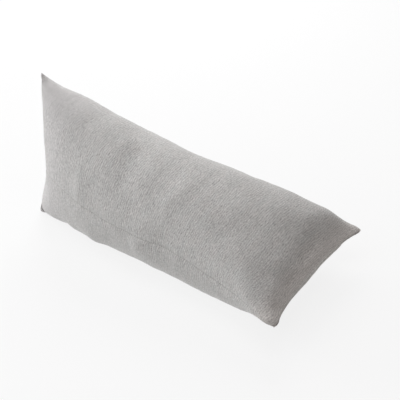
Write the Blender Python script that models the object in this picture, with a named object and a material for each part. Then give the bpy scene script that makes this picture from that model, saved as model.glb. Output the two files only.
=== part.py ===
"""A four-cornered filled cushion, as one solid at its real size.

A tube of cloth is sewn shut at both ends, with one end seam turned a quarter turn against
the other, so that the filled cushion has four corners and no flat ends. It lies as it comes
to rest: one end seam stands upright, the other lies across, a little above the surface.

+X runs from the upright seam to the lying seam, -Y is the front, where the long seam shows,
and +Z is up. The origin is on the surface, under the middle of the cushion's box.
Lengths are in metres.
"""

import bmesh
import bpy
import numpy as np

# Driving dimensions
FLAT_WIDTH = 0.45  # the empty tube pressed flat, which is also the length of an end seam
SPAN = 0.786  # from one end seam's corners to the other's, before their waves
UPRIGHT_DRAW = 0.050  # the middle of the upright seam is drawn in from its corners
LYING_DRAW = 0.010  # the middle of the lying seam is drawn in from its corners
LEAN_ALONG = 0.010  # the top corner leans towards the lying seam
LEAN_BACK = 0.030  # the top corner leans back
DRAW_REACH = 0.55  # share of the length over which an end's draw and lean fade out
BOW_POWER = 2.2  # how round the drawn-in line of an end seam is
UPRIGHT_PINCH = 0.09  # share of the length over which the upright end stays folded sharp
LYING_PINCH = 0.27  # the same for the lying end
CHANNEL_DEPTH = 0.002  # the long seam pulls the cloth in
CHANNEL_HALF_WIDTH = 0.005
SETTLE = 0.010  # size of the soft bend where the cloth comes down on the surface
SETTLE_SINK = 0.35  # share of that bend that the surface presses flat
FLAT_MARGIN = 0.0003  # points this close to the surface lie on it
CLOTH_LENGTH = 0.82  # the flat cloth from one end seam to the other

# The mesh: rings of cloth along the cushion and steps round each ring
RINGS = 66
RING_CROWDING = 0.4  # 0 spaces the rings evenly in share, more crowds them to the middle
STEPS_ROUND = 60
WELD = 0.0008  # points of the mesh closer than this become one

# Sections from the upright seam (share 0) to the lying seam (share 1).
# turn: degrees by which the section has turned from standing to lying
# girth: share of the tube's full girth
# rise: height of the lowest line before the cloth settles
# fullness: 0 for an ellipse, more for squarer shoulders
SECTION_COLUMNS = ("share", "turn", "girth", "rise", "fullness")
SECTIONS = (
    (0.000, 1.0, 0.782, 0.004, 0.01),
    (0.125, 22.5, 0.910, -0.009, 0.02),
    (0.250, 32.5, 0.985, -0.012, 0.02),
    (0.375, 40.5, 1.000, -0.012, 0.02),
    (0.500, 46.5, 1.000, -0.011, 0.02),
    (0.625, 52.0, 1.000, -0.007, 0.15),
    (0.750, 64.0, 1.000, 0.015, 0.21),
    (0.875, 80.5, 0.985, 0.058, 0.36),
    (1.000, 89.0, 0.950, 0.082, 0.38),
)

# Main puckers of the cloth.
# along: distance from the upright seam on the cloth laid flat
# around: place round the tube in flat widths, 0 front, 0.5 top, 1 back, 1.5 underside
# run and spread: half length and half width
# height: above the smooth form, less than 0 for a trough
# slant: degrees from straight round the tube, more than 0 leans to the lying seam going up
PUCKER_COLUMNS = ("along", "around", "run", "spread", "height", "slant")
PUCKERS = (
    # The front and the top, as they show
    (0.028, 0.48, 0.022, 0.018, 0.0040, 0.0),
    (0.060, 0.45, 0.032, 0.022, 0.0080, 0.0),
    (0.095, 0.36, 0.030, 0.020, 0.0030, 0.0),
    (0.050, 0.27, 0.035, 0.018, -0.0030, 0.0),
    (0.135, 0.44, 0.035, 0.017, -0.0026, 0.0),
    (0.150, 0.08, 0.050, 0.014, 0.0026, 0.0),
    (0.245, 0.52, 0.025, 0.014, 0.0022, 0.0),
    (0.238, 0.08, 0.045, 0.016, 0.0040, 0.0),
    (0.340, 0.34, 0.080, 0.030, -0.0050, -15.0),
    (0.430, -0.05, 0.040, 0.020, 0.0044, 0.0),
    (0.475, 0.32, 0.060, 0.019, 0.0036, 8.0),
    (0.497, 0.00, 0.045, 0.022, -0.0044, 0.0),
    (0.575, 0.18, 0.022, 0.016, -0.0022, 0.0),
    (0.622, 0.30, 0.045, 0.017, -0.0028, 0.0),
    (0.590, 0.66, 0.030, 0.050, -0.0025, 0.0),
    (0.690, 0.27, 0.035, 0.018, 0.0016, 0.0),
    # The shoulder and the flare of the lying end
    (0.728, 0.62, 0.055, 0.029, 0.0108, 0.0),
    (0.670, 0.57, 0.038, 0.034, 0.0050, 0.0),
    (0.745, 0.38, 0.045, 0.024, 0.0100, 0.0),
    (0.766, 0.23, 0.036, 0.017, 0.0120, 0.0),
    (0.783, 0.15, 0.024, 0.013, 0.0075, 0.0),
    (0.758, 0.08, 0.028, 0.020, -0.0076, 0.0),
    (0.803, 0.05, 0.022, 0.014, 0.0090, 0.0),
    (0.775, 0.52, 0.045, 0.018, -0.0140, 0.0),
    (0.786, 0.34, 0.045, 0.014, -0.0130, 0.0),
    (0.790, 0.76, 0.034, 0.018, -0.0080, 0.0),
    # The outline
    (0.640, 0.80, 0.060, 0.090, 0.0050, 0.0),
    (0.742, 0.79, 0.055, 0.026, 0.0075, 0.0),
    (0.430, 0.72, 0.060, 0.070, -0.0025, 0.0),
    (0.165, 1.69, 0.035, 0.018, -0.0070, 0.0),
    (0.272, 1.77, 0.045, 0.020, 0.0060, 0.0),
    (0.600, 1.78, 0.050, 0.080, 0.0020, 0.0),
    (0.070, 1.92, 0.055, 0.028, -0.0115, 0.0),
    (0.068, 0.04, 0.022, 0.022, -0.0030, 0.0),
    (0.048, 1.67, 0.036, 0.024, -0.0080, 0.0),
    # The back and the underside
    (0.200, 0.90, 0.080, 0.020, -0.0026, -6.0),
    (0.246, 0.92, 0.075, 0.022, 0.0018, -4.0),
    (0.388, 1.02, 0.085, 0.022, -0.0028, 12.0),
    (0.430, 0.96, 0.070, 0.024, 0.0018, 10.0),
    (0.556, 1.04, 0.070, 0.020, -0.0028, -16.0),
    (0.300, 1.16, 0.050, 0.020, -0.0026, -24.0),
    (0.700, 1.44, 0.060, 0.022, -0.0026, 4.0),
    (0.790, 1.36, 0.024, 0.036, -0.0030, 0.0),
    (0.047, 0.86, 0.022, 0.030, -0.0030, 0.0),
    (0.049, 1.22, 0.022, 0.028, -0.0030, 0.0),
)

# Where the long seam wanders from the middle of the front
# along: share of the length; reach: half length; shift: m round the tube
WANDER_COLUMNS = ("along", "reach", "shift")
WANDERS = (
    (0.580, 0.085, 0.0075),
    (0.380, 0.080, -0.0030),
)

# Where an end seam is drawn in or stands out
# end: 0 upright, -1 lying; place: m from the seam's middle, more than 0 to the top or back
# reach: half length; inward: how far it is drawn in; forward: how far it is moved to the front
# fade: how far into the cloth that goes
WAVE_COLUMNS = ("end", "place", "reach", "inward", "forward", "fade")
WAVES = (
    (0, -0.190, 0.060, 0.0310, 0.0340, 0.060),
    (-1, -0.202, 0.036, -0.0080, 0.0, 0.022),
    (-1, 0.207, 0.038, -0.0095, 0.0, 0.022),
    (-1, 0.050, 0.030, 0.0010, 0.0, 0.020),
)

# The cloth in the photograph's light grey
CLOTH_COLOUR = (0.44, 0.435, 0.425, 1.0)
CLOTH_ROUGHNESS = 0.95


def smooth_column(name, share):
    """One column of the sections table as a smooth curve, read at each share."""
    rows = np.array(SECTIONS)
    at = rows[:, 0]
    value = rows[:, SECTION_COLUMNS.index(name)]
    step = np.diff(at)
    slope = np.diff(value) / step
    tangent = np.empty_like(value)
    tangent[1:-1] = (slope[:-1] * step[1:] + slope[1:] * step[:-1]) / (step[:-1] + step[1:])
    tangent[0] = 1.5 * slope[0] - 0.5 * tangent[1]
    tangent[-1] = 1.5 * slope[-1] - 0.5 * tangent[-2]
    i = np.clip(np.searchsorted(at, share) - 1, 0, len(at) - 2)
    t = (share - at[i]) / step[i]
    start = (2 * t**3 - 3 * t**2 + 1) * value[i] + (t**3 - 2 * t**2 + t) * step[i] * tangent[i]
    end = (3 * t**2 - 2 * t**3) * value[i + 1] + (t**3 - t**2) * step[i] * tangent[i + 1]
    return start + end


def near(distance, reach):
    """1 at an end seam, easing to 0 at the given reach."""
    t = np.clip(1.0 - distance / reach, 0.0, 1.0)
    return t * t * (3.0 - 2.0 * t)


def folded(around):
    """1 at 0 and -1 at 1, in straight runs: how cloth lies beside a flat seam."""
    turn = np.mod(around, 2.0)
    return np.where(turn <= 1.0, 1.0 - 2.0 * turn, 2.0 * turn - 3.0)


def squared(value, power):
    """The value with its size raised to a power and its sign kept."""
    return np.sign(value) * np.abs(value) ** power


def wander(share):
    """How far the long seam has wandered round the tube."""
    shift = 0.0 * share
    for row in WANDERS:
        bend = dict(zip(WANDER_COLUMNS, row))
        shift = shift + bend["shift"] * np.exp(-(((share - bend["along"]) / bend["reach"]) ** 2))
    return shift * np.sin(np.pi * share)


def smooth_form(share, around):
    """Points of the filled tube, as an array of rings by steps by XYZ."""
    share = share[:, None]
    around = around[None, :] + wander(share) / FLAT_WIDTH
    turn = np.radians(smooth_column("turn", share))
    upright = near(share, UPRIGHT_PINCH)
    lying = near(1.0 - share, LYING_PINCH)
    power = 1.0 - smooth_column("fullness", share)
    side = (1.0 - lying) * np.cos(np.pi * around) + lying * folded(around)
    lift = (1.0 - upright) * np.sin(np.pi * around) + upright * folded(around - 0.5)
    side = squared(side, power ** (1.0 - lying))
    lift = squared(lift, power ** (1.0 - upright))

    # Each ring is scaled until it is as long as the cloth is round
    y = -np.sin(turn) * side
    z = np.cos(turn) * lift
    ring_length = np.hypot(y - np.roll(y, 1, 1), z - np.roll(z, 1, 1)).sum(1, keepdims=True)
    scale = 2.0 * FLAT_WIDTH * smooth_column("girth", share) / ring_length
    y = y * scale
    z = (z + np.cos(turn)) * scale + smooth_column("rise", share)

    # The ends are drawn in between their corners, and the upright one leans
    upright_end = near(share, DRAW_REACH)
    lying_end = near(1.0 - share, DRAW_REACH)
    x = -0.5 * SPAN * np.cos(np.pi * share)
    x = x + UPRIGHT_DRAW * upright_end * (1.0 - np.abs(lift) ** BOW_POWER)
    x = x - LYING_DRAW * lying_end * (1.0 - np.abs(side) ** BOW_POWER)
    x = x + LEAN_ALONG * upright_end * (lift + 1.0) / 2.0
    y = y + LEAN_BACK * upright_end * (lift + 1.0) / 2.0
    return np.stack([x, y, z], axis=-1)


def outward_normals(points):
    """Unit normals of the grid of rings, pointing out of the filling."""
    along = np.gradient(points, axis=0)
    round_ring = np.roll(points, -1, 1) - np.roll(points, 1, 1)
    normal = np.cross(along, round_ring)
    return normal / np.linalg.norm(normal, axis=-1, keepdims=True)


def pucker_height(along, around):
    """Height of the puckers and of the long seam's channel over the smooth form."""
    height = -CHANNEL_DEPTH * np.exp(-((seam_distance(around) / CHANNEL_HALF_WIDTH) ** 2))
    for row in PUCKERS:
        pucker = dict(zip(PUCKER_COLUMNS, row))
        ahead = along - pucker["along"]
        up = (np.mod(around - pucker["around"] + 1.0, 2.0) - 1.0) * FLAT_WIDTH
        slant = np.radians(pucker["slant"])
        lengthwise = up * np.cos(slant) + ahead * np.sin(slant)
        across = ahead * np.cos(slant) - up * np.sin(slant)
        fade = (lengthwise / pucker["run"]) ** 2 + (across / pucker["spread"]) ** 2
        height = height + pucker["height"] * np.exp(-fade)
    return height


def seam_distance(around):
    """Distance from the long seam, measured round the tube."""
    return np.abs(np.mod(around + 1.0, 2.0) - 1.0) * FLAT_WIDTH


def settled(z):
    """Heights after the filling has spread on the surface: 0 or less is pressed flat."""
    return 0.5 * (z + np.sqrt(z * z + SETTLE * SETTLE)) - SETTLE_SINK * SETTLE


def ring_shares():
    """Places of the rings along the cushion, as shares of its length."""
    even = np.linspace(0.0, 1.0, RINGS)
    return even + RING_CROWDING * np.sin(2.0 * np.pi * even) / (2.0 * np.pi)


def steps_round():
    """Places round the tube: even steps, with closer ones beside the front and back lines."""
    even = np.arange(STEPS_ROUND) * 2.0 / STEPS_ROUND
    beside = CHANNEL_HALF_WIDTH / FLAT_WIDTH
    close = np.array([beside, 1.0 - beside, 1.0 + beside, 2.0 - beside])
    return np.sort(np.concatenate([even, close]))


def places_along(points):
    """Distance of each point from the upright seam on the cloth laid flat."""
    stretch = np.linalg.norm(np.diff(points, axis=0), axis=-1)
    path = np.concatenate([np.zeros((1, points.shape[1])), np.cumsum(stretch, axis=0)])
    return path / path[-1:] * CLOTH_LENGTH


def seam_places(ring, axis):
    """Distance of each step from the middle of its end seam, and half the seam's length."""
    middle = (ring[:, axis].max() + ring[:, axis].min()) / 2.0
    return ring[:, axis] - middle, ring[:, axis].max() - middle


def waved_ends(points, along):
    """The cloth with the waves of its end seams."""
    for row in WAVES:
        wave = dict(zip(WAVE_COLUMNS, row))
        end = wave["end"]
        axis, inwards = (2, 1.0) if end == 0 else (1, -1.0)
        place = seam_places(points[end], axis)[0]
        share = np.exp(-(((place - wave["place"]) / wave["reach"]) ** 2))
        share = share * np.exp(-(((along - along[end]) / wave["fade"]) ** 2))
        points[..., 0] += inwards * wave["inward"] * share
        points[..., 1] -= wave["forward"] * share
    return points


def cushion_points():
    """The finished rings, with the middle of the cushion's box over the origin."""
    share = ring_shares()
    around = steps_round()
    points = smooth_form(share, around)
    along = places_along(points)
    keep_seams = np.sin(np.pi * share)[:, None] ** 0.5
    height = pucker_height(along, around[None, :]) * keep_seams
    points = points + outward_normals(points) * height[..., None]
    points[..., 2] = settled(points[..., 2])
    points = waved_ends(points, along)
    middle = (points.min(axis=(0, 1)) + points.max(axis=(0, 1))) / 2.0
    points[..., :2] -= middle[:2]
    return points


def mirror_step(around, fold):
    """For each step round the tube, the step that an end seam sews it to."""
    partner = np.mod(2.0 * fold - around, 2.0)
    gap = np.abs(np.mod(around[None, :] - partner[:, None] + 1.0, 2.0) - 1.0)
    return gap.argmin(axis=1)


def add_ring_faces(mesh, rings):
    """The cloth between each ring and the next."""
    for ring, following in zip(rings[:-1], rings[1:]):
        count = len(ring)
        for step in range(count):
            after = (step + 1) % count
            mesh.faces.new((ring[step], ring[after], following[after], following[step]))


def add_end_seam(mesh, ring, partner):
    """The narrow edge of an end seam, from each step to the step it is sewn to."""
    count = len(ring)
    for step in range(count):
        after = (step + 1) % count
        corners = []
        for index in (step, after, partner[after], partner[step]):
            if ring[index] not in corners:
                corners.append(ring[index])
        if len(corners) > 2 and mesh.faces.get(corners) is None:
            mesh.faces.new(corners)


def flatten_underside(mesh):
    """Cut the cushion off level where it lies on the surface."""
    geometry = mesh.verts[:] + mesh.edges[:] + mesh.faces[:]
    cut = bmesh.ops.bisect_plane(
        mesh, geom=geometry, plane_co=(0, 0, 0), plane_no=(0, 0, -1), clear_outer=True
    )
    rim = [item for item in cut["geom_cut"] if isinstance(item, bmesh.types.BMEdge)]
    bmesh.ops.edgeloop_fill(mesh, edges=rim)
    for vertex in mesh.verts:
        if vertex.co.z < FLAT_MARGIN:
            vertex.co.z = 0.0
    bmesh.ops.remove_doubles(mesh, verts=mesh.verts[:], dist=WELD)


def cloth_material():
    material = bpy.data.materials.new("light_grey_cloth")
    material.use_nodes = True
    shader = material.node_tree.nodes["Principled BSDF"]
    shader.inputs["Base Color"].default_value = CLOTH_COLOUR
    shader.inputs["Roughness"].default_value = CLOTH_ROUGHNESS
    shader.inputs["Metallic"].default_value = 0.0
    return material


def make_cushion():
    points = cushion_points()
    around = steps_round()
    mesh = bmesh.new()
    rings = [[mesh.verts.new(point) for point in ring] for ring in points]
    add_ring_faces(mesh, rings)
    add_end_seam(mesh, rings[0], mirror_step(around, 0.5))
    add_end_seam(mesh, rings[-1], mirror_step(around, 0.0))
    flatten_underside(mesh)
    bmesh.ops.recalc_face_normals(mesh, faces=mesh.faces[:])
    data = bpy.data.meshes.new("cushion")
    mesh.to_mesh(data)
    mesh.free()
    data.shade_smooth()
    data.materials.append(cloth_material())
    cushion = bpy.data.objects.new("cushion", data)
    bpy.context.scene.collection.objects.link(cushion)
    return cushion


for leftover in list(bpy.data.objects):
    bpy.data.objects.remove(leftover)
make_cushion()
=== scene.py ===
"""The looks of a light grey cushion with four corners, on a pale stage.

The cloth is a tube sewn shut at both ends, with one end seam a quarter turn from the other.
It is built as it lies filled, and a cloth simulation gives it its fine wrinkles. +X runs from
the upright end seam to the lying one, -Y is the front, where the long seam shows, and +Z is up.
Lengths are in metres.
"""

import math

import bpy
import numpy as np
from mathutils import Matrix, Vector


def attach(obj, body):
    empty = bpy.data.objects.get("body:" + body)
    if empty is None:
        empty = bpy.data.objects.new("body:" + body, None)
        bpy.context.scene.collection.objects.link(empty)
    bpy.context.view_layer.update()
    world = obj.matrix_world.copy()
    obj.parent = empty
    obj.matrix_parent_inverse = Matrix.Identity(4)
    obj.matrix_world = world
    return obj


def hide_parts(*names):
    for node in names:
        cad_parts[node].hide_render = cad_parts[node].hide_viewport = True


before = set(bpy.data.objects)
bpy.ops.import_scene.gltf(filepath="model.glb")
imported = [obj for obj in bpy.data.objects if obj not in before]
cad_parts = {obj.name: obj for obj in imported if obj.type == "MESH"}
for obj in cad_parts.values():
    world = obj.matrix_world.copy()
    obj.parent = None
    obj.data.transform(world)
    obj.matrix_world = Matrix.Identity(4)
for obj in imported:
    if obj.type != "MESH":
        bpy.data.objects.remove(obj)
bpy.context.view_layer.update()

# Sizes of the cushion, as in the solid
FLAT_WIDTH = 0.45  # the empty tube pressed flat, which is also the length of an end seam
SPAN = 0.786  # from one end seam's corners to the other's, before their waves
UPRIGHT_DRAW = 0.050  # the middle of the upright seam is drawn in from its corners
LYING_DRAW = 0.010  # the middle of the lying seam is drawn in from its corners
LEAN_ALONG = 0.010  # the top corner leans towards the lying seam
LEAN_BACK = 0.030  # the top corner leans back
DRAW_REACH = 0.55  # share of the length over which an end's draw and lean fade out
BOW_POWER = 2.2  # how round the drawn-in line of an end seam is
UPRIGHT_PINCH = 0.09  # share of the length over which the upright end stays folded sharp
LYING_PINCH = 0.27  # the same for the lying end
CHANNEL_DEPTH = 0.002  # the long seam pulls the cloth in
CHANNEL_HALF_WIDTH = 0.005
SETTLE = 0.010  # size of the soft bend where the cloth comes down on the surface
SETTLE_SINK = 0.35  # share of that bend that the surface presses flat

# Sections from the upright seam (share 0) to the lying seam (share 1).
# turn: degrees by which the section has turned from standing to lying
# girth: share of the tube's full girth
# rise: height of the lowest line before the cloth settles
# fullness: 0 for an ellipse, more for squarer shoulders
SECTION_COLUMNS = ("share", "turn", "girth", "rise", "fullness")
SECTIONS = (
    (0.000, 1.0, 0.782, 0.004, 0.01),
    (0.125, 22.5, 0.910, -0.009, 0.02),
    (0.250, 32.5, 0.985, -0.012, 0.02),
    (0.375, 40.5, 1.000, -0.012, 0.02),
    (0.500, 46.5, 1.000, -0.011, 0.02),
    (0.625, 52.0, 1.000, -0.007, 0.15),
    (0.750, 64.0, 1.000, 0.015, 0.21),
    (0.875, 80.5, 0.985, 0.058, 0.36),
    (1.000, 89.0, 0.950, 0.082, 0.38),
)

# Main puckers of the cloth.
# along: distance from the upright seam on the cloth laid flat
# around: place round the tube in flat widths, 0 front, 0.5 top, 1 back, 1.5 underside
# run and spread: half length and half width
# height: above the smooth form, less than 0 for a trough
# slant: degrees from straight round the tube, more than 0 leans to the lying seam going up
PUCKER_COLUMNS = ("along", "around", "run", "spread", "height", "slant")
PUCKERS = (
    # The front and the top, as they show
    (0.028, 0.48, 0.022, 0.018, 0.0040, 0.0),
    (0.060, 0.45, 0.032, 0.022, 0.0080, 0.0),
    (0.095, 0.36, 0.030, 0.020, 0.0030, 0.0),
    (0.050, 0.27, 0.035, 0.018, -0.0030, 0.0),
    (0.135, 0.44, 0.035, 0.017, -0.0026, 0.0),
    (0.150, 0.08, 0.050, 0.014, 0.0026, 0.0),
    (0.245, 0.52, 0.025, 0.014, 0.0022, 0.0),
    (0.238, 0.08, 0.045, 0.016, 0.0040, 0.0),
    (0.340, 0.34, 0.080, 0.030, -0.0050, -15.0),
    (0.430, -0.05, 0.040, 0.020, 0.0044, 0.0),
    (0.475, 0.32, 0.060, 0.019, 0.0036, 8.0),
    (0.497, 0.00, 0.045, 0.022, -0.0044, 0.0),
    (0.575, 0.18, 0.022, 0.016, -0.0022, 0.0),
    (0.622, 0.30, 0.045, 0.017, -0.0028, 0.0),
    (0.590, 0.66, 0.030, 0.050, -0.0025, 0.0),
    (0.690, 0.27, 0.035, 0.018, 0.0016, 0.0),
    # The shoulder and the flare of the lying end
    (0.728, 0.62, 0.055, 0.029, 0.0108, 0.0),
    (0.670, 0.57, 0.038, 0.034, 0.0050, 0.0),
    (0.745, 0.38, 0.045, 0.024, 0.0100, 0.0),
    (0.766, 0.23, 0.036, 0.017, 0.0120, 0.0),
    (0.783, 0.15, 0.024, 0.013, 0.0075, 0.0),
    (0.758, 0.08, 0.028, 0.020, -0.0076, 0.0),
    (0.803, 0.05, 0.022, 0.014, 0.0090, 0.0),
    (0.775, 0.52, 0.045, 0.018, -0.0140, 0.0),
    (0.786, 0.34, 0.045, 0.014, -0.0130, 0.0),
    (0.790, 0.76, 0.034, 0.018, -0.0080, 0.0),
    # The outline
    (0.640, 0.80, 0.060, 0.090, 0.0050, 0.0),
    (0.742, 0.79, 0.055, 0.026, 0.0075, 0.0),
    (0.430, 0.72, 0.060, 0.070, -0.0025, 0.0),
    (0.165, 1.69, 0.035, 0.018, -0.0070, 0.0),
    (0.272, 1.77, 0.045, 0.020, 0.0060, 0.0),
    (0.600, 1.78, 0.050, 0.080, 0.0020, 0.0),
    (0.070, 1.92, 0.055, 0.028, -0.0115, 0.0),
    (0.068, 0.04, 0.022, 0.022, -0.0030, 0.0),
    (0.048, 1.67, 0.036, 0.024, -0.0080, 0.0),
    # The back and the underside
    (0.200, 0.90, 0.080, 0.020, -0.0026, -6.0),
    (0.246, 0.92, 0.075, 0.022, 0.0018, -4.0),
    (0.388, 1.02, 0.085, 0.022, -0.0028, 12.0),
    (0.430, 0.96, 0.070, 0.024, 0.0018, 10.0),
    (0.556, 1.04, 0.070, 0.020, -0.0028, -16.0),
    (0.300, 1.16, 0.050, 0.020, -0.0026, -24.0),
    (0.700, 1.44, 0.060, 0.022, -0.0026, 4.0),
    (0.790, 1.36, 0.024, 0.036, -0.0030, 0.0),
    (0.047, 0.86, 0.022, 0.030, -0.0030, 0.0),
    (0.049, 1.22, 0.022, 0.028, -0.0030, 0.0),
)

# Where the long seam wanders from the middle of the front
# along: share of the length; reach: half length; shift: m round the tube
WANDER_COLUMNS = ("along", "reach", "shift")
WANDERS = (
    (0.580, 0.085, 0.0075),
    (0.380, 0.080, -0.0030),
)

# Where an end seam is drawn in or stands out
# end: 0 upright, -1 lying; place: m from the seam's middle, more than 0 to the top or back
# reach: half length; inward: how far it is drawn in; forward: how far it is moved to the front
# fade: how far into the cloth that goes
WAVE_COLUMNS = ("end", "place", "reach", "inward", "forward", "fade")
WAVES = (
    (0, -0.190, 0.060, 0.0310, 0.0340, 0.060),
    (-1, -0.202, 0.036, -0.0080, 0.0, 0.022),
    (-1, 0.207, 0.038, -0.0095, 0.0, 0.022),
    (-1, 0.050, 0.030, 0.0010, 0.0, 0.020),
)

# The cloth laid flat
CLOTH_LENGTH = 0.82  # from one end seam to the other
CLOTH_ROUND = 2.0 * FLAT_WIDTH
ON_SEAM = 1e-6  # cloth nearer to an end seam than this is sewn into it
TINY = 1e-9  # stands in for a length of 0 where it would be divided by

# The sewn edges
SEAM_SINK = 0.0016  # how far an end seam lies in between the rolls of cloth beside it
SEAM_ROLL = 0.0022  # width of such a roll
GROOVE_SINK = 0.0007  # the same for the long seam
GROOVE_ROLL = 0.0012
CORNER_FADE = 0.020  # distance from an end seam over which a blunt corner fades out
TIP_CLEAR = 0.014  # distance from a corner's tip over which the fine shapes grow from nothing
FLOOR_CLEAR = 0.004  # height above the floor over which they do so

# The tips of the corners.
# end: 0 upright, -1 lying; side: 1 top or back, -1 the other one
# blunt: how far the tip is rounded off
# lift: how far the tip turns up; reach: length of seam over which it does
CORNER_COLUMNS = ("name", "end", "side", "blunt", "lift", "reach")
CORNERS = (
    ("top", 0, 1, 0.0010, 0.0, 0.004),
    ("foot", 0, -1, 0.0030, 0.0080, 0.022),
    ("back", -1, 1, 0.0015, 0.0, 0.006),
    ("front", -1, -1, 0.0040, 0.0, 0.008),
)

# The mesh: rings of cloth along the cushion and steps round each ring
RINGS = 70
RING_CROWDING = 0.4  # 0 spaces the rings evenly in share, more crowds them to the middle
END_RINGS = (0.005, 0.012, 0.022)  # extra rings at these shares from each end seam
END_CLEAR = 1.4  # even rings start this many times as far from the seam as the last extra one
STEPS_ROUND = 60
SEAM_STEPS = (0.0025, 0.0070)  # extra steps this far from the long seam, and from opposite it
FINE_LEVELS = 2  # subdivisions of the cloth once it has settled

# The cloth simulation: the panel is cut a little longer than the filling needs
CUT_EXCESS = 0.022
CUT_GIRTH = 0.985  # how much of the filled girth the panel is cut for
START_INSIDE = 0.002  # the cloth starts this far inside its filled form
START_UNEVEN = 0.0003
START_SEED = 4
PRESSURE = 0.3
STRETCH_STIFFNESS = 80.0
SHEAR_STIFFNESS = 5.0
BEND_STIFFNESS = 0.5
FRAMES = 20
MOVE_LIMIT = 0.006  # no point moves further than this
FILLING_HOLD = 1.0  # share of the large, slow part of the move that the filling undoes
HOLD_ROUNDS = 22  # more of them count wider moves as large
PIN_HEIGHT = 0.0002  # cloth no higher than this lies on the surface

# Soft unevenness of the cloth, finer than the simulation.
# cell_along and cell_round: size of one soft lump along the cushion and round it
# beside: "all", or the seams that it fades away from; reach: how far it gets from them
RIPPLE_COLUMNS = ("cell_along", "cell_round", "height", "beside", "reach")
RIPPLES = (
    (0.050, 0.065, 0.0010, "all", 0.0),
    (0.014, 0.055, 0.0003, "all", 0.0),
    (0.250, 0.015, 0.0009, "end seams", 0.030),
    (0.015, 0.250, 0.0005, "long seam", 0.018),
)

# The cloth's colour, with patches of warm fibres among cool ones
COOL_GREY = (0.412, 0.409, 0.3990, 1.0)
WARM_GREY = (0.420, 0.408, 0.3965, 1.0)
PATCH_CELL = (0.012, 0.045)  # size of a patch along the cushion and round it
PATCH_EDGE = (0.35, 0.65)  # the noise where a patch begins, and where it is fully warm

# Painted light near the end seams: a warm tint that stands in for the warm shade at the lying end,
# and a lighter, pinker tint for the light falling on the upright end.
# start and full: the distances from the seam between which the tint grows
TINT_COLUMNS = ("beside", "start", "full", "colour")
PAINTED_LIGHT_TINTS = (
    # painted shade: the warm tint of the shadowed lying end
    ("lying seam", 0.080, 0.020, (0.429, 0.408, 0.391, 1.0)),
    # painted light: the upright end lighter and pinker where the light falls on it
    ("upright seam", 0.240, 0.090, (0.4320, 0.4195, 0.4150, 1.0)),
)

# How the cloth takes the light
ROUGHNESS = 0.95
SPECULAR = 0.2
SHEEN = 0.35
SHEEN_ROUGHNESS = 0.45
NAP_CELL = (0.0012, 0.0040)
NAP_HEIGHT = 0.0012
NAP_STRENGTH = 0.6

# Rows of thick yarn that run round the cushion
ROW_PITCH = 0.0050  # from one row to the next
ROW_LENGTH = 0.023  # how far a row runs before it wanders or fades
ROW_WANDER = 6.0  # how far a row strays, in radians of its wave
ROW_CONTRAST = 0.25
ROW_PATCH = (0.006, 0.012)  # size of the patches where the rows show more or less
WAVE_PERIOD = math.pi / 10.0  # of the wave texture itself

# The fibres' streaks and mottles on the flat cloth.
# cell_along and cell_round: their size along the cushion and round it
# detail: how many finer sizes are added; contrast: share of the shade between the extremes
FIBRE_COLUMNS = ("name", "cell_along", "cell_round", "detail", "contrast")
FIBRES = (
    ("yarn", 0.0015, 0.0090, 1.0, 0.78),
    ("flecks", 0.0018, 0.0036, 0.0, 0.62),
    ("streaks", 0.0050, 0.0300, 1.0, 0.24),
    ("clouds", 0.0600, 0.0900, 2.0, 0.06),
)

# Each noise is read at a place of its own, so that no two are alike
NOISE_ROUGHNESS = 0.6
FIBRE_SHIFT = 7.3  # from one row of the fibres' table to the next
NAP_SHIFT = 33.0
ROW_SHIFT = 57.0
PATCH_SHIFT = 91.0

# Dark stitched seam lines, a painted highlight beside the long seam, and painted light with a little
# rubbed wear beside the end seams: how far from the seam each reaches, and its change of tone
STITCH_LENGTH = 0.0040
STITCH_LEVEL = 0.8  # share of a line's tone that shows on average
STITCH_SWING = 0.3  # how far that share goes up and down from stitch to stitch
LINE_COLUMNS = ("beside", "reach", "tone")
SEAM_LINES_AND_PAINTED_LIGHT = (
    ("long seam", 0.0016, -0.20),
    # painted highlight on the rolls of cloth beside the long seam
    ("long seam", 0.0070, 0.015),
    ("end seams", 0.0012, -0.20),
    # painted light on the cloth beside the end seams, with a little rubbed wear
    ("end seams", 0.0320, 0.11),
)

# The camera, fitted to the photograph's corners and outline
CAMERA_AZIMUTH = 30.79
CAMERA_ELEVATION = 32.46
CAMERA_ROLL = 1.01
CAMERA_DISTANCE = 2.5326
CAMERA_AIM = (0.0486, 0.0499, 0.136)
FOCAL_LENGTH = 1080.0  # in pixels of the frame
FRAME_WIDTH = 400.0  # in pixels
SENSOR_WIDTH = 36.0

# Soft lamps: where each stands as seen from the cushion, its size, power and colour
LAMP_COLUMNS = ("name", "azimuth", "elevation", "distance", "size", "power", "colour")
LAMPS = (
    ("behind_left", 214.0, 36.0, 2.6, 1.8, 61.0, (0.99, 1.0, 1.01)),
    ("front_left", 328.0, 35.0, 2.6, 1.8, 27.0, (0.97, 1.0, 1.03)),
    ("low_left", 270.0, 16.0, 4.2, 2.2, 105.0, (1.0, 1.0, 1.0)),
    ("above", 20.0, 75.0, 2.6, 1.8, 23.0, (0.99, 1.0, 1.01)),
)

# The faint light from all round, and the floor and backdrop
SKY_STRENGTH = 0.17
SKY_COLOUR = (1.0, 0.87, 0.82, 1.0)
FLOOR_RADIUS = 15.0
BACKDROP_HEIGHT = 12.0
BACKDROP_STEPS = 64
STAGE_GREY = 0.10
FLOOR_GLOW = 0.83  # the floor's own light, as of a lit studio table
BACKDROP_GLOW = 0.81  # the same for the backdrop

# A Mix node's sockets for colours, which share their names with others
MIX_SHARE = 0
MIX_ONE = 6
MIX_OTHER = 7
MIX_RESULT = 2


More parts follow.
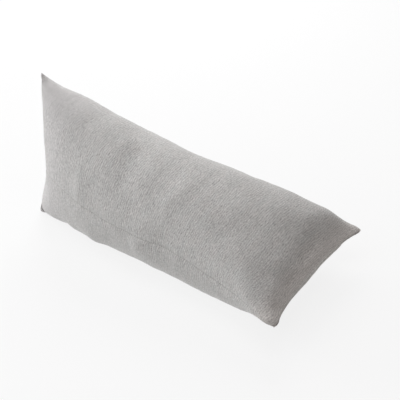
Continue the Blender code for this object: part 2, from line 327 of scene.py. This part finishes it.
def smooth_column(name, share):
    """One column of the sections table as a smooth curve, read at each share."""
    rows = np.array(SECTIONS)
    at = rows[:, 0]
    value = rows[:, SECTION_COLUMNS.index(name)]
    step = np.diff(at)
    slope = np.diff(value) / step
    tangent = np.empty_like(value)
    tangent[1:-1] = (slope[:-1] * step[1:] + slope[1:] * step[:-1]) / (step[:-1] + step[1:])
    tangent[0] = 1.5 * slope[0] - 0.5 * tangent[1]
    tangent[-1] = 1.5 * slope[-1] - 0.5 * tangent[-2]
    i = np.clip(np.searchsorted(at, share) - 1, 0, len(at) - 2)
    t = (share - at[i]) / step[i]
    start = (2 * t**3 - 3 * t**2 + 1) * value[i] + (t**3 - 2 * t**2 + t) * step[i] * tangent[i]
    end = (3 * t**2 - 2 * t**3) * value[i + 1] + (t**3 - t**2) * step[i] * tangent[i + 1]
    return start + end


def near(distance, reach):
    """1 at an end seam, easing to 0 at the given reach."""
    t = np.clip(1.0 - distance / reach, 0.0, 1.0)
    return t * t * (3.0 - 2.0 * t)


def folded(around):
    """1 at 0 and -1 at 1, in straight runs: how cloth lies beside a flat seam."""
    turn = np.mod(around, 2.0)
    return np.where(turn <= 1.0, 1.0 - 2.0 * turn, 2.0 * turn - 3.0)


def raised(value, power):
    """The value with its size raised to a power and its sign kept."""
    return np.sign(value) * np.abs(value) ** power


def wander(share):
    """How far the long seam has wandered round the tube."""
    shift = 0.0 * share
    for row in WANDERS:
        bend = dict(zip(WANDER_COLUMNS, row))
        shift = shift + bend["shift"] * np.exp(-(((share - bend["along"]) / bend["reach"]) ** 2))
    return shift * np.sin(np.pi * share)


def smooth_form(share, around):
    """Points of the filled tube, as an array of rings by steps by XYZ."""
    share = share[:, None]
    around = around[None, :] + wander(share) / FLAT_WIDTH
    turn = np.radians(smooth_column("turn", share))
    upright = near(share, UPRIGHT_PINCH)
    lying = near(1.0 - share, LYING_PINCH)
    power = 1.0 - smooth_column("fullness", share)
    side = (1.0 - lying) * np.cos(np.pi * around) + lying * folded(around)
    lift = (1.0 - upright) * np.sin(np.pi * around) + upright * folded(around - 0.5)
    side = raised(side, power ** (1.0 - lying))
    lift = raised(lift, power ** (1.0 - upright))

    # Each ring is scaled until it is as long as the cloth is round
    y = -np.sin(turn) * side
    z = np.cos(turn) * lift
    ring_length = np.hypot(y - np.roll(y, 1, 1), z - np.roll(z, 1, 1)).sum(1, keepdims=True)
    scale = 2.0 * FLAT_WIDTH * smooth_column("girth", share) / ring_length
    y = y * scale
    z = (z + np.cos(turn)) * scale + smooth_column("rise", share)

    # The ends are drawn in between their corners, and the upright one leans
    upright_end = near(share, DRAW_REACH)
    lying_end = near(1.0 - share, DRAW_REACH)
    x = -0.5 * SPAN * np.cos(np.pi * share)
    x = x + UPRIGHT_DRAW * upright_end * (1.0 - np.abs(lift) ** BOW_POWER)
    x = x - LYING_DRAW * lying_end * (1.0 - np.abs(side) ** BOW_POWER)
    x = x + LEAN_ALONG * upright_end * (lift + 1.0) / 2.0
    y = y + LEAN_BACK * upright_end * (lift + 1.0) / 2.0
    return np.stack([x, y, z], axis=-1)


def outward_normals(points):
    """Unit normals of the grid of rings, pointing out of the filling."""
    along = np.gradient(points, axis=0)
    round_ring = np.roll(points, -1, 1) - np.roll(points, 1, 1)
    normal = np.cross(along, round_ring)
    return normal / np.maximum(np.linalg.norm(normal, axis=-1, keepdims=True), TINY)


def seam_distance(around):
    """Distance from the long seam, measured round the tube."""
    return np.abs(np.mod(around + 1.0, 2.0) - 1.0) * FLAT_WIDTH


def pucker_height(along, around):
    """Height of the puckers and of the long seam's channel over the smooth form."""
    height = -CHANNEL_DEPTH * np.exp(-((seam_distance(around) / CHANNEL_HALF_WIDTH) ** 2))
    for row in PUCKERS:
        pucker = dict(zip(PUCKER_COLUMNS, row))
        ahead = along - pucker["along"]
        up = (np.mod(around - pucker["around"] + 1.0, 2.0) - 1.0) * FLAT_WIDTH
        slant = np.radians(pucker["slant"])
        lengthwise = up * np.cos(slant) + ahead * np.sin(slant)
        across = ahead * np.cos(slant) - up * np.sin(slant)
        fade = (lengthwise / pucker["run"]) ** 2 + (across / pucker["spread"]) ** 2
        height = height + pucker["height"] * np.exp(-fade)
    return height


def settled(z):
    """Heights after the filling has spread on the surface: 0 or less is pressed flat."""
    bend = 0.5 * (z + np.sqrt(z * z + SETTLE * SETTLE)) - SETTLE_SINK * SETTLE
    return np.maximum(bend, 0.0)


def ring_shares():
    """Places of the rings along the cushion, with closer ones beside the end seams."""
    even = np.linspace(0.0, 1.0, RINGS)
    share = even + RING_CROWDING * np.sin(2.0 * np.pi * even) / (2.0 * np.pi)
    ends = np.array(END_RINGS)
    clear = ends[-1] * END_CLEAR
    middle = share[(share > clear) & (share < 1.0 - clear)]
    return np.concatenate([[0.0], ends, middle, 1.0 - ends[::-1], [1.0]])


def steps_round():
    """Places round the tube, mirrored about each corner and closer at the long seam."""
    even = np.arange(STEPS_ROUND) * 2.0 / STEPS_ROUND
    beside = np.array(SEAM_STEPS) / FLAT_WIDTH
    close = np.concatenate([beside, 1.0 - beside, 1.0 + beside, 2.0 - beside])
    return np.sort(np.concatenate([even, close]))


def places_along(points):
    """Distance of each point from the upright seam on the cloth laid flat."""
    stretch = np.linalg.norm(np.diff(points, axis=0), axis=-1)
    path = np.concatenate([np.zeros((1, points.shape[1])), np.cumsum(stretch, axis=0)])
    return path / path[-1:] * CLOTH_LENGTH


def seam_places(ring, axis):
    """Distance of each step from the middle of its end seam, and half the seam's length."""
    middle = (ring[:, axis].max() + ring[:, axis].min()) / 2.0
    return ring[:, axis] - middle, ring[:, axis].max() - middle


def waved_ends(points, along):
    """The cloth with the waves of its end seams."""
    for row in WAVES:
        wave = dict(zip(WAVE_COLUMNS, row))
        end = wave["end"]
        axis, inwards = (2, 1.0) if end == 0 else (1, -1.0)
        place = seam_places(points[end], axis)[0]
        share = np.exp(-(((place - wave["place"]) / wave["reach"]) ** 2))
        share = share * np.exp(-(((along - along[end]) / wave["fade"]) ** 2))
        points[..., 0] += inwards * wave["inward"] * share
        points[..., 1] -= wave["forward"] * share
    return points


def blunted_tips(points, along):
    """The cloth with the tips of its four corners rounded off or turned up."""
    for row in CORNERS:
        corner = dict(zip(CORNER_COLUMNS, row))
        end = corner["end"]
        axis, inwards = (2, 1.0) if end == 0 else (1, -1.0)
        place, half = seam_places(points[end], axis)
        to_tip = half - corner["side"] * place
        share = np.exp(-((to_tip / corner["reach"]) ** 2))
        share = share * np.exp(-np.abs(along - along[end]) / CORNER_FADE)
        points[..., 0] += inwards * corner["blunt"] * share
        points[..., 2] += corner["lift"] * share
    return points


def cushion_grid():
    """Rings of points of the filled cloth, and how far along and round the cloth each is."""
    share = ring_shares()
    around = steps_round()
    points = smooth_form(share, around)
    along = places_along(points)
    keep_seams = np.sin(np.pi * share)[:, None] ** 0.5
    height = pucker_height(along, around[None, :]) * keep_seams
    points = points + outward_normals(points) * height[..., None]
    points[..., 2] = settled(points[..., 2])
    points = waved_ends(points, along)
    middle = (points.min(axis=(0, 1)) + points.max(axis=(0, 1))) / 2.0
    points[..., :2] -= middle[:2]
    return blunted_tips(points, along), along, around * FLAT_WIDTH


def sewn_to(around, fold):
    """For each step round the tube, the step that an end seam sews it to."""
    partner = np.mod(2.0 * fold - around, CLOTH_ROUND)
    gap = np.abs(np.mod(around[None, :] - partner[:, None] + FLAT_WIDTH, CLOTH_ROUND) - FLAT_WIDTH)
    return gap.argmin(axis=1)


def cloth_object(name, points, along, around):
    """A closed mesh of the rings, sewn shut at both ends, with the flat cloth as its UV map."""
    rings, steps = points.shape[:2]
    index = np.arange(rings * steps).reshape(rings, steps)
    for ring, fold in ((0, FLAT_WIDTH / 2.0), (-1, 0.0)):
        partner = sewn_to(around, fold)
        points[ring] = (points[ring] + points[ring][partner]) / 2.0
        index[ring] = index[ring][np.minimum(np.arange(steps), partner)]
    used, order = np.unique(index, return_inverse=True)
    order = order.reshape(rings, steps)

    # U runs along the cushion and V round it, and the long seam is at both edges of V
    u = np.concatenate([along, along[:, :1]], axis=1)
    v = np.append(around, CLOTH_ROUND)
    faces = []
    flat = []
    for ring in range(rings - 1):
        for step in range(steps):
            corners = ((ring, step), (ring + 1, step), (ring + 1, step + 1), (ring, step + 1))
            face = [int(order[r, s % steps]) for r, s in corners]
            kept = [k for k in range(4) if face[k] != face[k - 1]]
            faces.append([face[k] for k in kept])
            flat.extend((u[corners[k]], v[corners[k][1]]) for k in kept)
    data = bpy.data.meshes.new(name)
    data.from_pydata(points.reshape(-1, 3)[used].tolist(), [], faces)
    layer = data.uv_layers.new(name="flat_cloth")
    layer.data.foreach_set("uv", np.array(flat, dtype=np.float32).ravel())
    piece = bpy.data.objects.new(name, data)
    bpy.context.scene.collection.objects.link(piece)
    return piece


def read_vectors(items, name, width=3):
    """A mesh's positions, normals or UVs as an array of rows."""
    values = np.zeros(len(items) * width, dtype=np.float32)
    items.foreach_get(name, values)
    return values.reshape(-1, width).astype(float)


def write_points(data, points):
    """Move a mesh's vertices to the points."""
    data.vertices.foreach_set("co", points.astype(np.float32).ravel())
    data.update()


def evened(data, values, rounds):
    """The values at a mesh's vertices, averaged over their neighbours again and again."""
    edges = np.zeros(len(data.edges) * 2, dtype=np.int32)
    data.edges.foreach_get("vertices", edges)
    one, other = edges.reshape(-1, 2).T
    count = np.bincount(edges, minlength=len(values))[:, None]
    for _ in range(rounds):
        total = np.zeros_like(values)
        np.add.at(total, one, values[other])
        np.add.at(total, other, values[one])
        values = (values + total / count) / 2.0
    return values


def simulated(piece, filled, held):
    """The cloth's points after its simulation, which starts where they are and pins the held ones."""
    piece.shape_key_add(name="start")
    cut = piece.shape_key_add(name="cut")
    cut_points = filled * np.array([1.0 + CUT_EXCESS, CUT_GIRTH, CUT_GIRTH])
    cut.data.foreach_set("co", cut_points.astype(np.float32).ravel())
    cut.value = 0.0
    sewn = piece.vertex_groups.new(name="sewn")
    sewn.add(np.flatnonzero(held).tolist(), 1.0, "REPLACE")

    cloth = piece.modifiers.new("cloth", "CLOTH")
    settings = cloth.settings
    settings.tension_stiffness = STRETCH_STIFFNESS
    settings.compression_stiffness = STRETCH_STIFFNESS
    settings.shear_stiffness = SHEAR_STIFFNESS
    settings.bending_stiffness = BEND_STIFFNESS
    settings.use_pressure = True
    settings.uniform_pressure_force = PRESSURE
    settings.effector_weights.gravity = 0.0
    settings.vertex_group_mass = "sewn"
    settings.rest_shape_key = cut
    cloth.collision_settings.use_collision = False
    cloth.point_cache.frame_start = 1
    cloth.point_cache.frame_end = FRAMES
    for moment in range(1, FRAMES + 1):
        bpy.context.scene.frame_set(moment)
    shown = piece.evaluated_get(bpy.context.evaluated_depsgraph_get())
    points = read_vectors(shown.data.vertices, "co")
    piece.modifiers.remove(cloth)
    piece.vertex_groups.remove(sewn)
    piece.shape_key_clear()
    bpy.context.scene.frame_set(1)
    return points


def let_settle(piece):
    """Settle the cloth over its filling with a cloth simulation, and keep its fine wrinkles."""
    data = piece.data
    filled = read_vectors(data.vertices, "co")
    normals = read_vectors(data.vertices, "normal")
    flat = vertex_uvs(data)
    to_end = np.minimum(flat[:, 0], CLOTH_LENGTH - flat[:, 0])
    held = (to_end < ON_SEAM) | (filled[:, 2] < PIN_HEIGHT)

    # The cloth starts a little inside its filled form, uneven enough to buckle by itself
    uneven = np.random.default_rng(START_SEED).normal(0.0, START_UNEVEN, len(filled))
    start = filled + normals * (uneven - START_INSIDE)[:, None]
    start[held] = filled[held]
    write_points(data, start)
    move = simulated(piece, filled, held) - filled

    # The filling undoes the large, slow part of the move
    move = move - FILLING_HOLD * evened(data, move, HOLD_ROUNDS)
    size = np.linalg.norm(move, axis=1, keepdims=True)
    points = filled + move * np.minimum(1.0, MOVE_LIMIT / np.maximum(size, TINY))
    points[:, 2] = np.maximum(points[:, 2], 0.0)
    write_points(data, points)


def vertex_uvs(data):
    """The place on the flat cloth of each vertex. On a seam it is that of one side."""
    corner_vertex = np.zeros(len(data.loops), dtype=np.int32)
    data.loops.foreach_get("vertex_index", corner_vertex)
    uvs = np.zeros((len(data.vertices), 2))
    uvs[corner_vertex] = read_vectors(data.uv_layers["flat_cloth"].data, "uv", 2)
    return uvs


def subdivide(piece):
    """Replace the mesh by its smooth subdivision."""
    smooth = piece.modifiers.new("smooth", "SUBSURF")
    smooth.levels = FINE_LEVELS
    smooth.uv_smooth = "NONE"
    shown = piece.evaluated_get(bpy.context.evaluated_depsgraph_get())
    finer = bpy.data.meshes.new_from_object(shown)
    coarse = piece.data
    piece.modifiers.remove(smooth)
    piece.data = finer
    bpy.data.meshes.remove(coarse)
    finer.name = piece.name


def soft_noise(u, v, cell_u, cell_v, seed):
    """Smooth unevenness from -1 to 1 over the flat cloth, the same at both edges of V."""
    cells_v = max(round(CLOTH_ROUND / cell_v), 1)
    cells_u = math.ceil(CLOTH_LENGTH / cell_u) + 2
    lattice = np.random.default_rng(seed).uniform(-1.0, 1.0, (cells_u, cells_v))
    x = u / cell_u
    y = v / CLOTH_ROUND * cells_v
    i = np.floor(x).astype(int)
    j = np.floor(y).astype(int)
    s = (x - i) ** 2 * (3.0 - 2.0 * (x - i))
    t = (y - j) ** 2 * (3.0 - 2.0 * (y - j))
    low = lattice[i, j % cells_v] * (1.0 - t) + lattice[i, (j + 1) % cells_v] * t
    high = lattice[i + 1, j % cells_v] * (1.0 - t) + lattice[i + 1, (j + 1) % cells_v] * t
    return low * (1.0 - s) + high * s


def tip_distance(u, v):
    """Distance on the flat cloth to the nearest corner's tip."""
    upright = np.hypot(u, np.abs(np.mod(v, FLAT_WIDTH) - FLAT_WIDTH / 2.0))
    from_fold = np.minimum(np.mod(v, FLAT_WIDTH), FLAT_WIDTH - np.mod(v, FLAT_WIDTH))
    lying = np.hypot(CLOTH_LENGTH - u, from_fold)
    return np.minimum(upright, lying)


def press_seams(piece):
    """Sink the seams between their rolls of cloth, and add the cloth's fine unevenness."""
    data = piece.data
    points = read_vectors(data.vertices, "co")
    normals = read_vectors(data.vertices, "normal")
    u, v = vertex_uvs(data).T
    u = np.clip(u, 0.0, CLOTH_LENGTH)
    v = np.clip(v, 0.0, CLOTH_ROUND)
    to_end = np.minimum(u, CLOTH_LENGTH - u)
    to_long_seam = np.minimum(v, CLOTH_ROUND - v)
    height = -GROOVE_SINK * np.exp(-((to_long_seam / GROOVE_ROLL) ** 2))
    height -= SEAM_SINK * np.exp(-((to_end / SEAM_ROLL) ** 2))
    away = {"all": 0.0, "end seams": to_end, "long seam": to_long_seam}
    for seed, row in enumerate(RIPPLES):
        ripple = dict(zip(RIPPLE_COLUMNS, row))
        noise = soft_noise(u, v, ripple["cell_along"], ripple["cell_round"], seed)
        fade = np.exp(-away[ripple["beside"]] / max(ripple["reach"], TINY))
        height = height + ripple["height"] * noise * fade * (1.0 - np.exp(-to_end / SEAM_ROLL))
    height = height * np.clip(points[:, 2] / FLOOR_CLEAR, 0.0, 1.0)
    height = height * (1.0 - np.exp(-((tip_distance(u, v) / TIP_CLEAR) ** 2)))
    points = points + normals * height[:, None]
    points[:, 2] = np.maximum(points[:, 2], 0.0)
    write_points(data, points)


def add_node(tree, kind, inputs, **settings):
    """A shader node with its settings, and each input set to a value or linked to a socket."""
    made = tree.nodes.new(kind)
    for name, value in settings.items():
        setattr(made, name, value)
    for name, value in inputs.items():
        if isinstance(value, bpy.types.NodeSocket):
            tree.links.new(value, made.inputs[name])
        else:
            made.inputs[name].default_value = value
    return made


def add_math(tree, operation, *values):
    """The result of one sum or function of the values."""
    made = add_node(tree, "ShaderNodeMath", dict(enumerate(values)), operation=operation)
    return made.outputs["Value"]


def cloth_noise(tree, flat, cell, detail, shift):
    """Noise on the flat cloth, in cells of the given size along the cushion and round it."""
    shape = (1.0 / cell[0], 1.0 / cell[1], 1.0)
    scaled = add_node(
        tree, "ShaderNodeVectorMath", {0: flat, 1: shape, 2: (shift, shift, shift)},
        operation="MULTIPLY_ADD",
    )
    noise = add_node(
        tree, "ShaderNodeTexNoise",
        {
            "Vector": scaled.outputs["Vector"], "Scale": 1.0, "Detail": detail,
            "Roughness": NOISE_ROUGHNESS,
        },
    )
    return noise.outputs["Fac"]


def fading(tree, distance, near_end, far_end, value):
    """The value up to the near end of a distance, easing to 0 at its far end."""
    eased = add_node(
        tree, "ShaderNodeMapRange",
        {
            "Value": distance, "From Min": near_end, "From Max": far_end,
            "To Min": value, "To Max": 0.0,
        },
        interpolation_type="SMOOTHSTEP",
    )
    return eased.outputs["Result"]


def mixed_colour(tree, share, one, other):
    """The one colour where the share is 0 and the other where it is 1."""
    mix = add_node(
        tree, "ShaderNodeMix", {MIX_SHARE: share, MIX_ONE: one, MIX_OTHER: other},
        data_type="RGBA",
    )
    return mix.outputs[MIX_RESULT]


def fibre_tone(tree, flat):
    """Shade of the fibres, about 1."""
    tone = 1.0
    for number, row in enumerate(FIBRES):
        fibre = dict(zip(FIBRE_COLUMNS, row))
        cell = (fibre["cell_along"], fibre["cell_round"])
        noise = cloth_noise(tree, flat, cell, fibre["detail"], FIBRE_SHIFT * number)
        middle = add_math(tree, "SUBTRACT", noise, 0.5)
        tone = add_math(tree, "MULTIPLY_ADD", middle, fibre["contrast"], tone)
    return tone


def yarn_rows(tree, flat):
    """Rows of thicker yarn that run round the cushion, wandering and fading, about 0."""
    stretched = add_node(
        tree, "ShaderNodeVectorMath",
        {0: flat, 1: (WAVE_PERIOD / ROW_PITCH, 1.0 / ROW_LENGTH, 1.0)}, operation="MULTIPLY",
    )
    rows = add_node(
        tree, "ShaderNodeTexWave",
        {
            "Vector": stretched.outputs["Vector"], "Scale": 1.0, "Distortion": ROW_WANDER,
            "Detail": 1.0, "Detail Scale": 1.0, "Detail Roughness": NOISE_ROUGHNESS,
        },
    )
    middle = add_math(tree, "SUBTRACT", rows.outputs["Fac"], 0.5)
    seen = cloth_noise(tree, flat, ROW_PATCH, 1.0, ROW_SHIFT)
    return add_math(tree, "MULTIPLY", middle, add_math(tree, "MULTIPLY", seen, 2.0 * ROW_CONTRAST))


def seam_lines_and_painted_light(tree, along, around):
    """Darker stitched lines in the seams, a painted highlight beside the long seam, and painted light
    with a little rubbed wear beside the end seams, about 0.
    """
    away = {
        "long seam": add_math(tree, "PINGPONG", around, FLAT_WIDTH),
        "end seams": add_math(tree, "PINGPONG", along, CLOTH_LENGTH / 2.0),
    }
    run = {"long seam": along, "end seams": around}
    total = 0.0
    for row in SEAM_LINES_AND_PAINTED_LIGHT:
        line = dict(zip(LINE_COLUMNS, row))
        shown = fading(tree, away[line["beside"]], 0.0, line["reach"], line["tone"])
        turn = add_math(tree, "MULTIPLY", run[line["beside"]], 2.0 * math.pi / STITCH_LENGTH)
        stitch = add_math(tree, "SINE", turn)
        broken = add_math(tree, "MULTIPLY_ADD", stitch, STITCH_SWING, STITCH_LEVEL)
        total = add_math(tree, "MULTIPLY_ADD", shown, broken, total)
    return total


def cloth_colour(tree, flat, along):
    """Warm patches among cool cloth, with painted light near the end seams: a warm tint for the shade
    at the lying end and a lighter one for the lit upright end.
    """
    noise = cloth_noise(tree, flat, PATCH_CELL, 2.0, PATCH_SHIFT)
    warm = add_node(
        tree, "ShaderNodeMapRange",
        {"Value": noise, "From Min": PATCH_EDGE[0], "From Max": PATCH_EDGE[1]},
    ).outputs["Result"]
    colour = mixed_colour(tree, warm, COOL_GREY, WARM_GREY)
    away = {"upright seam": along, "lying seam": add_math(tree, "SUBTRACT", CLOTH_LENGTH, along)}
    # painted shade and light near the end seams
    for row in PAINTED_LIGHT_TINTS:
        tint = dict(zip(TINT_COLUMNS, row))
        share = fading(tree, away[tint["beside"]], tint["full"], tint["start"], 1.0)
        colour = mixed_colour(tree, share, colour, tint["colour"])
    return colour


def cloth_material():
    """Matt light grey cloth, with its fibres, seams and painted light near the seams drawn on the
    flat cloth's UV map.
    """
    material = bpy.data.materials.new("light_grey_cloth")
    material.use_nodes = True
    tree = material.node_tree
    shader = tree.nodes["Principled BSDF"]
    shader.inputs["Roughness"].default_value = ROUGHNESS
    shader.inputs["Specular IOR Level"].default_value = SPECULAR
    shader.inputs["Sheen Weight"].default_value = SHEEN
    shader.inputs["Sheen Roughness"].default_value = SHEEN_ROUGHNESS
    flat = add_node(tree, "ShaderNodeUVMap", {}, uv_map="flat_cloth").outputs["UV"]
    place = add_node(tree, "ShaderNodeSeparateXYZ", {"Vector": flat})
    along = place.outputs["X"]
    around = place.outputs["Y"]

    tone = add_math(tree, "ADD", fibre_tone(tree, flat), yarn_rows(tree, flat))
    # the stitched lines and the painted light beside the seams change the tone here
    tone = add_math(tree, "ADD", tone, seam_lines_and_painted_light(tree, along, around))
    shade = add_node(
        tree, "ShaderNodeVectorMath", {0: cloth_colour(tree, flat, along), "Scale": tone},
        operation="SCALE",
    )
    tree.links.new(shade.outputs["Vector"], shader.inputs["Base Color"])

    nap = cloth_noise(tree, flat, NAP_CELL, 2.0, NAP_SHIFT)
    bump = add_node(
        tree, "ShaderNodeBump",
        {"Height": nap, "Strength": NAP_STRENGTH, "Distance": NAP_HEIGHT},
    )
    tree.links.new(bump.outputs["Normal"], shader.inputs["Normal"])
    return material


def make_cushion():
    """Build the cloth, let it settle, refine it, and put it in the place of the solid."""
    points, along, around = cushion_grid()
    cushion = cloth_object("cushion_cloth", points, along, around)
    let_settle(cushion)
    subdivide(cushion)
    press_seams(cushion)
    cushion.data.shade_smooth()
    cushion.data.materials.append(cloth_material())
    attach(cushion, "root")
    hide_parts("cushion")


def direction(azimuth, elevation):
    """Unit vector from the cushion to a place round it: azimuth 0 is the front, 90 is +X."""
    a = math.radians(azimuth)
    e = math.radians(elevation)
    return Vector((math.sin(a) * math.cos(e), -math.cos(a) * math.cos(e), math.sin(e)))


def pale_material(name, glow):
    """A matt pale surface with a light of its own."""
    material = bpy.data.materials.new(name)
    material.use_nodes = True
    shader = material.node_tree.nodes["Principled BSDF"]
    shader.inputs["Base Color"].default_value = (STAGE_GREY, STAGE_GREY, STAGE_GREY, 1.0)
    shader.inputs["Emission Color"].default_value = (1.0, 1.0, 1.0, 1.0)
    shader.inputs["Emission Strength"].default_value = glow
    shader.inputs["Roughness"].default_value = 1.0
    shader.inputs["Specular IOR Level"].default_value = 0.0
    return material


def stage_object(name, points, faces, material):
    """A mesh that belongs to the stage and isn't part of the cushion."""
    data = bpy.data.meshes.new(name)
    data.from_pydata(points, [], faces)
    data.materials.append(material)
    piece = bpy.data.objects.new(name, data)
    bpy.context.scene.collection.objects.link(piece)
    return piece


def make_stage():
    """A round pale floor, and a pale backdrop round it that gives the cushion no light."""
    angles = [2.0 * math.pi * step / BACKDROP_STEPS for step in range(BACKDROP_STEPS)]
    rim = [(FLOOR_RADIUS * math.cos(a), FLOOR_RADIUS * math.sin(a), 0.0) for a in angles]
    top = [(x, y, BACKDROP_HEIGHT) for x, y, _ in rim]
    steps = range(BACKDROP_STEPS)
    walls = [
        (k, k + BACKDROP_STEPS, (k + 1) % BACKDROP_STEPS + BACKDROP_STEPS, (k + 1) % BACKDROP_STEPS)
        for k in steps
    ]
    floor_material = pale_material("pale_floor", FLOOR_GLOW)
    stage_object("floor", rim, [tuple(steps)], floor_material)
    backdrop_material = pale_material("pale_backdrop", BACKDROP_GLOW)
    backdrop = stage_object("backdrop", rim + top, walls, backdrop_material)
    backdrop.visible_diffuse = False
    backdrop.visible_glossy = False
    backdrop.visible_shadow = False


def make_lamps():
    """Round soft lamps, all turned to where the camera aims."""
    middle = Vector(CAMERA_AIM)
    for row in LAMPS:
        lamp = dict(zip(LAMP_COLUMNS, row))
        data = bpy.data.lights.new(lamp["name"], "AREA")
        data.shape = "DISK"
        data.size = lamp["size"]
        data.energy = lamp["power"]
        data.color = lamp["colour"]
        towards = direction(lamp["azimuth"], lamp["elevation"])
        light = bpy.data.objects.new(lamp["name"], data)
        light.location = middle + towards * lamp["distance"]
        light.rotation_euler = towards.to_track_quat("Z", "Y").to_euler()
        bpy.context.scene.collection.objects.link(light)


def make_sky():
    """A faint even light from all round."""
    world = bpy.data.worlds.new("studio")
    world.use_nodes = True
    background = world.node_tree.nodes["Background"]
    background.inputs["Color"].default_value = SKY_COLOUR
    background.inputs["Strength"].default_value = SKY_STRENGTH
    bpy.context.scene.world = world


def make_camera():
    """A camera at the photograph's angle, with its framing."""
    back = direction(CAMERA_AZIMUTH, CAMERA_ELEVATION)
    azimuth = math.radians(CAMERA_AZIMUTH)
    level = Vector((math.cos(azimuth), math.sin(azimuth), 0.0))
    upward = back.cross(level)
    roll = math.radians(CAMERA_ROLL)
    right = level * math.cos(roll) + upward * math.sin(roll)
    up = upward * math.cos(roll) - level * math.sin(roll)
    data = bpy.data.cameras.new("camera")
    data.sensor_width = SENSOR_WIDTH
    data.lens = FOCAL_LENGTH / FRAME_WIDTH * SENSOR_WIDTH
    camera = bpy.data.objects.new("camera", data)
    turn = Matrix((right, up, back)).transposed().to_4x4()
    camera.matrix_world = Matrix.Translation(Vector(CAMERA_AIM) + back * CAMERA_DISTANCE) @ turn
    bpy.context.scene.collection.objects.link(camera)
    bpy.context.scene.camera = camera


make_cushion()
make_stage()
make_lamps()
make_sky()
make_camera()
bpy.context.scene.view_settings.view_transform = "Standard"
